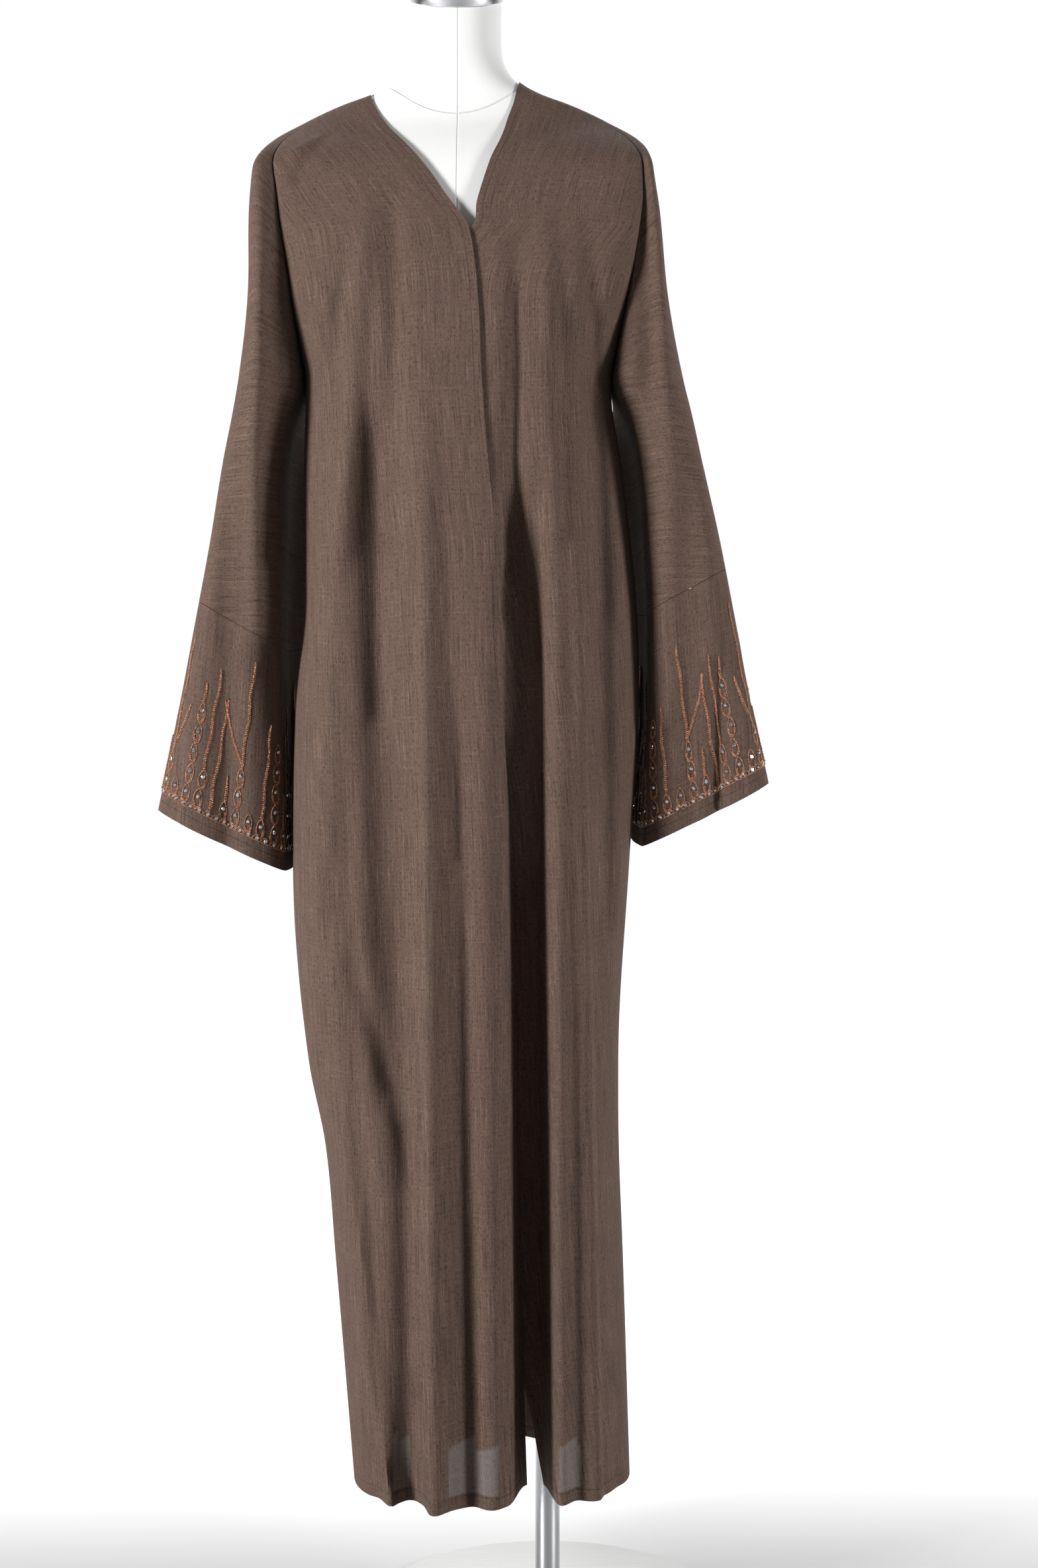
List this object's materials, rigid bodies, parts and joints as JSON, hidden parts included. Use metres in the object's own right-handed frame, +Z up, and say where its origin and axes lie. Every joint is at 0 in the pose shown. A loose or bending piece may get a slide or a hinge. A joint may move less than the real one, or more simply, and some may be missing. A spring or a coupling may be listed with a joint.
{
  "type": "abaya cloak on a limbless dress form",
  "caption": "Long open-front abaya cloak with kimono-cut sleeves and flared cuff bands, worn on a limbless dress form with a pole and a round foot plate.",
  "frame": {"origin": "centre of the foot plate's underside, on the pole's axis", "axes": "+Z up along the pole, -Y towards the front of the cloak, +X towards the wearer's left"},
  "size_m": [0.6232, 0.36, 1.678],
  "materials": {
    "cloak_cloth": "matt brown melange weave",
    "form_cover": "white jersey cover",
    "cap_chrome": "polished",
    "stand_steel": "polished",
    "plate_paint": "pale grey, finely brushed"
  },
  "bodies": {
    "root": {"front_right": "cloak_cloth", "front_left": "cloak_cloth", "back": "cloak_cloth", "cuff_right": "cloak_cloth", "cuff_left": "cloak_cloth", "under_placket": "cloak_cloth", "dress_form_torso": "form_cover", "neck_cap": "cap_chrome", "pole": "stand_steel", "pole_collar": "stand_steel", "foot_plate": "plate_paint"}
  },
  "joints": []
}
